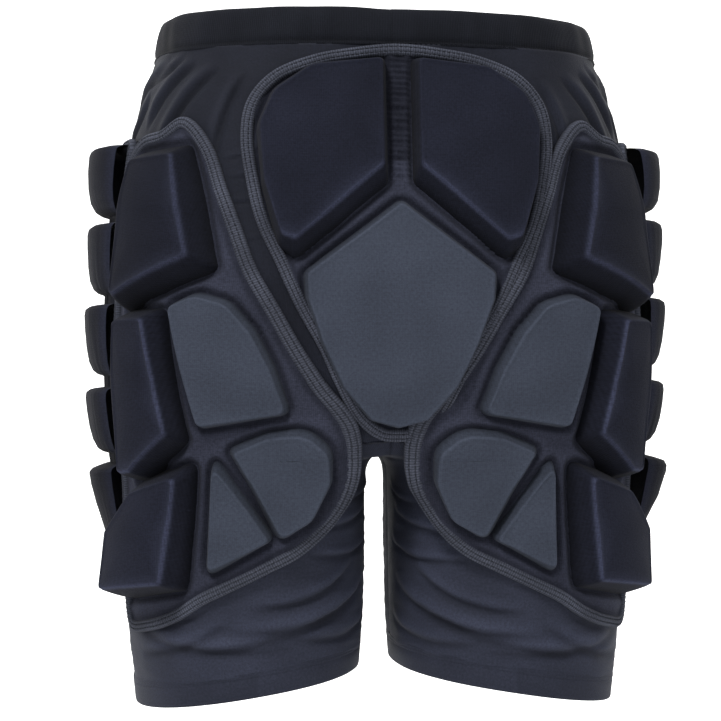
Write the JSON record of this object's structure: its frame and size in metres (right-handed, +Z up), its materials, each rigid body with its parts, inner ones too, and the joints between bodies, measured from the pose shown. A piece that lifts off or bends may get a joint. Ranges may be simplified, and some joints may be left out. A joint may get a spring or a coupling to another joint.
{
  "type": "padded impact shorts",
  "caption": "Padded impact shorts for skiing and snowboarding: stretch shorts with foam pads in moulded covers over the tailbone, hips and thighs.",
  "frame": {"origin": "centre of the waist opening, in the plane of the waistband's top rim", "axes": "+Z up, +X to the wearer's right, +Y the way the wearer faces, so the padded seat faces -Y"},
  "size_m": [0.3858, 0.237, 0.4399],
  "materials": {
    "stretch_fabric": "dark navy stretch knit, semi-matte",
    "waistband_fabric": "near-black ribbed elastic webbing",
    "elastic": "dull black",
    "laminate": "dark navy knit bonded to thin foam",
    "binding_tape": "dark grey ribbed tape with visible stitching",
    "dark_cover": "near-black navy moulded knit, matte",
    "light_cover": "slate grey moulded knit, matte",
    "foam": "matte closed-cell foam"
  },
  "bodies": {
    "root": {"waistband_casing": "waistband_fabric", "waistband_elastic": "elastic", "rear_panel_l": "stretch_fabric", "rear_panel_r": "stretch_fabric", "front_panel_l": "stretch_fabric", "front_panel_r": "stretch_fabric", "hem_band_l": "stretch_fabric", "hem_band_r": "stretch_fabric", "tailbone_sheet": "laminate", "side_sheet_l": "laminate", "side_sheet_r": "laminate", "tailbone_binding": "binding_tape", "side_binding_l": "binding_tape", "side_binding_r": "binding_tape", "thigh_binding_l": "binding_tape", "thigh_binding_r": "binding_tape", "seat_pad_cover_l": "dark_cover", "seat_pad_foam_l": "foam", "seat_pad_cover_r": "dark_cover", "seat_pad_foam_r": "foam", "hip_pad_cover_l": "dark_cover", "hip_pad_foam_l": "foam", "hip_pad_cover_r": "dark_cover", "hip_pad_foam_r": "foam", "side_pad_cover_l": "dark_cover", "side_pad_foam_l": "foam", "side_pad_cover_r": "dark_cover", "side_pad_foam_r": "foam", "lower_pad_cover_l": "dark_cover", "lower_pad_foam_l": "foam", "lower_pad_cover_r": "dark_cover", "lower_pad_foam_r": "foam", "rear_pad_cover_l": "light_cover", "rear_pad_foam_l": "foam", "rear_pad_cover_r": "light_cover", "rear_pad_foam_r": "foam", "crescent_pad_cover_l": "light_cover", "crescent_pad_foam_l": "foam", "crescent_pad_cover_r": "light_cover", "crescent_pad_foam_r": "foam", "corner_pad_cover_l": "light_cover", "corner_pad_foam_l": "foam", "corner_pad_cover_r": "light_cover", "corner_pad_foam_r": "foam", "tailbone_pad_cover": "light_cover", "tailbone_pad_foam": "foam", "thigh_cover_l": "dark_cover", "thigh_rib_foam_1_l": "foam", "thigh_rib_foam_2_l": "foam", "thigh_rib_foam_3_l": "foam", "thigh_rib_foam_4_l": "foam", "thigh_rib_foam_5_l": "foam", "thigh_cover_r": "dark_cover", "thigh_rib_foam_1_r": "foam", "thigh_rib_foam_2_r": "foam", "thigh_rib_foam_3_r": "foam", "thigh_rib_foam_4_r": "foam", "thigh_rib_foam_5_r": "foam"}
  },
  "joints": []
}
